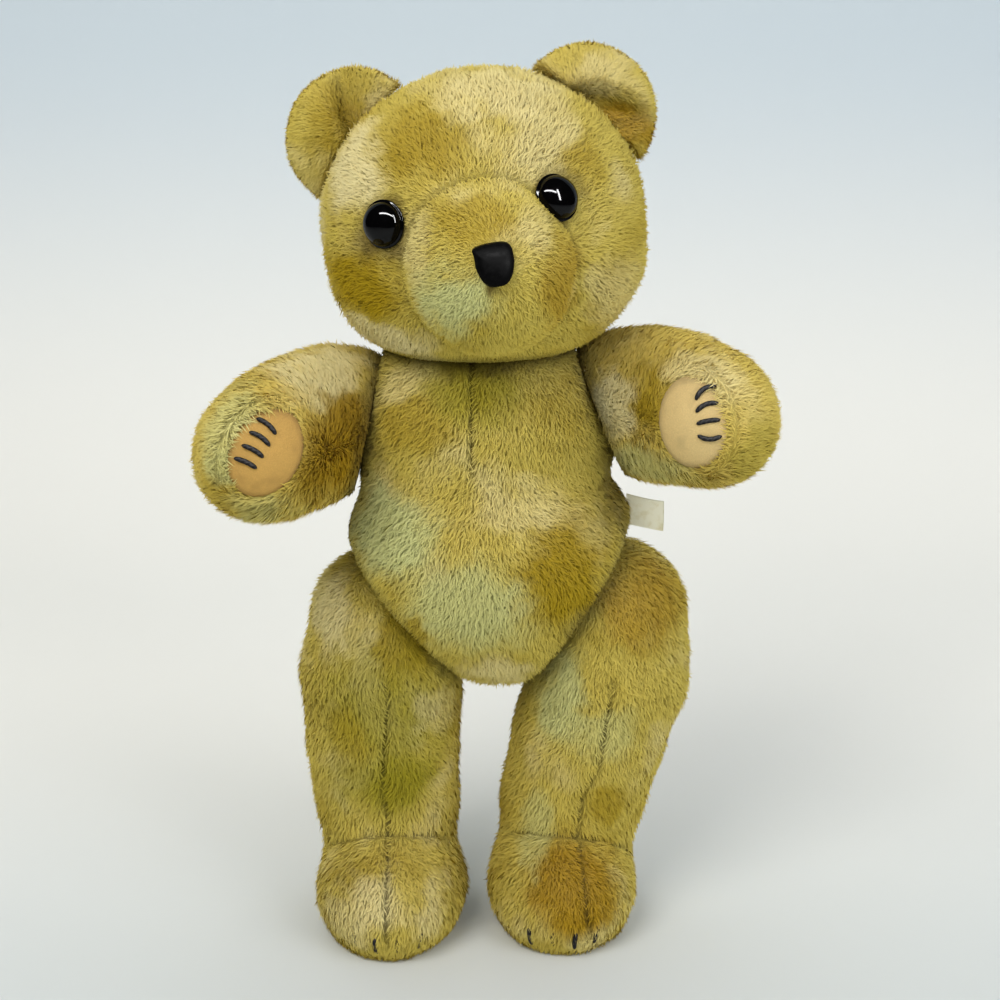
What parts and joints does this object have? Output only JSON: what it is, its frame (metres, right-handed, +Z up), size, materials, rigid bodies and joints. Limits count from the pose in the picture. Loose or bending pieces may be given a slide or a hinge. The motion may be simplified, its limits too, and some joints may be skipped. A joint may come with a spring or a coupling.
{
  "type": "jointed teddy bear",
  "caption": "Worn golden plush teddy bear that stands on flat felt soles, with disc joints at the neck, shoulders and hips, black domed eyes and peach palm pads.",
  "frame": {"origin": "middle of the outline, at the floor that the soles stand on", "axes": "+Z up from the soles to the ears, -Y the way the bear faces, +X towards the bear's left"},
  "size_m": [0.2683, 0.1665, 0.4413],
  "materials": {
    "plush": "golden short-pile plush, matted and unevenly faded",
    "filling": "off-white fibre filling, firmly packed",
    "felt": "peach felt, slightly soiled",
    "eye_plastic": "black, polished dome",
    "nose_plastic": "black, satin",
    "thread": "black stitching thread",
    "label_cloth": "cream woven ribbon, bare",
    "joint_plastic": "natural moulded plastic"
  },
  "bodies": {
    "torso": {"torso_cover": "plush", "torso_filling": "filling", "label": "label_cloth", "neck_washer": "joint_plastic", "shoulder_right_washer": "joint_plastic", "shoulder_left_washer": "joint_plastic", "hip_right_washer": "joint_plastic", "hip_left_washer": "joint_plastic"},
    "head": {"head_cover": "plush", "head_filling": "filling", "ear_right": "plush", "ear_left": "plush", "eye_right": "eye_plastic", "eye_left": "eye_plastic", "nose": "nose_plastic", "neck_disc": "joint_plastic", "neck_lock": "joint_plastic"},
    "arm_right": {"arm_right_cover": "plush", "arm_right_filling": "filling", "palm_right": "felt", "claw_right_1": "thread", "claw_right_2": "thread", "claw_right_3": "thread", "claw_right_4": "thread", "shoulder_right_disc": "joint_plastic", "shoulder_right_lock": "joint_plastic"},
    "arm_left": {"arm_left_cover": "plush", "arm_left_filling": "filling", "palm_left": "felt", "claw_left_1": "thread", "claw_left_2": "thread", "claw_left_3": "thread", "claw_left_4": "thread", "shoulder_left_disc": "joint_plastic", "shoulder_left_lock": "joint_plastic"},
    "leg_right": {"leg_right_cover": "plush", "leg_right_filling": "filling", "sole_right": "felt", "toe_right_1": "thread", "toe_right_2": "thread", "toe_right_3": "thread", "toe_right_4": "thread", "hip_right_disc": "joint_plastic", "hip_right_lock": "joint_plastic"},
    "leg_left": {"leg_left_cover": "plush", "leg_left_filling": "filling", "sole_left": "felt", "toe_left_1": "thread", "toe_left_2": "thread", "toe_left_3": "thread", "toe_left_4": "thread", "hip_left_disc": "joint_plastic", "hip_left_lock": "joint_plastic"}
  },
  "joints": [
    {"name": "neck", "type": "hinge", "parent": "torso", "child": "head", "pos_m": [-0.0048, 0.0233, 0.3], "axis": [0, 0, 1], "range_deg": [-45, 45]},
    {"name": "shoulder_right", "type": "hinge", "parent": "torso", "child": "arm_right", "pos_m": [-0.058, 0.0213, 0.266], "axis": [-0.9762, 0, 0.217], "range_deg": [-60, 30]},
    {"name": "shoulder_left", "type": "hinge", "parent": "torso", "child": "arm_left", "pos_m": [0.0544, 0.0213, 0.266], "axis": [-0.9262, 0, -0.3771], "range_deg": [-60, 30]},
    {"name": "hip_right", "type": "hinge", "parent": "torso", "child": "leg_right", "pos_m": [-0.0428, 0.0213, 0.171], "axis": [-0.783, 0, -0.622], "range_deg": [-30, 90]},
    {"name": "hip_left", "type": "hinge", "parent": "torso", "child": "leg_left", "pos_m": [0.0442, 0.0213, 0.172], "axis": [-0.8555, 0, 0.5177], "range_deg": [-30, 90]}
  ]
}
